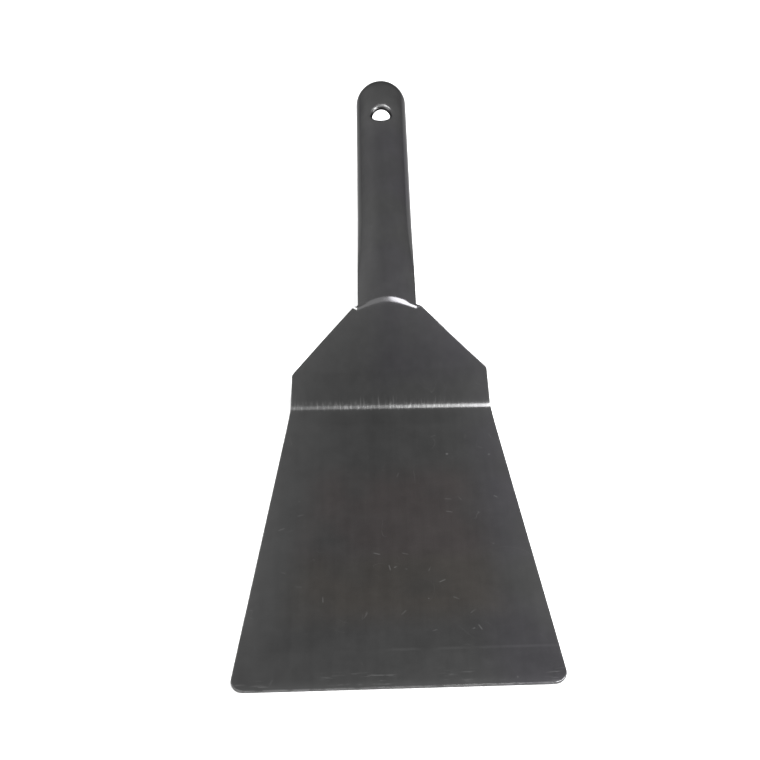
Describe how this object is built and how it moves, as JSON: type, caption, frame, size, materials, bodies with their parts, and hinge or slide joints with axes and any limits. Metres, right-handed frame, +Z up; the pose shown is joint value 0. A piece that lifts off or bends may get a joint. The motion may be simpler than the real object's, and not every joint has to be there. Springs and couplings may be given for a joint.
{
  "type": "mortar hawk",
  "caption": "Hand tool pressed from sheet steel for carrying and scraping mortar: flat tapered blade, cranked neck and channel handle with a hanging hole.",
  "frame": {"origin": "middle of the bounding box's base, on the surface that the blade rests on", "axes": "+Z up from the blade's flat underside, +Y along the tool from the blade to the handle's tip, +X across the blade"},
  "size_m": [0.1484, 0.4096, 0.0774],
  "materials": {
    "dark_steel": "thin satin black coating on sheet steel, rubbed to bare metal along the fold"
  },
  "bodies": {
    "root": {"hawk_pressing": "dark_steel"}
  },
  "joints": []
}
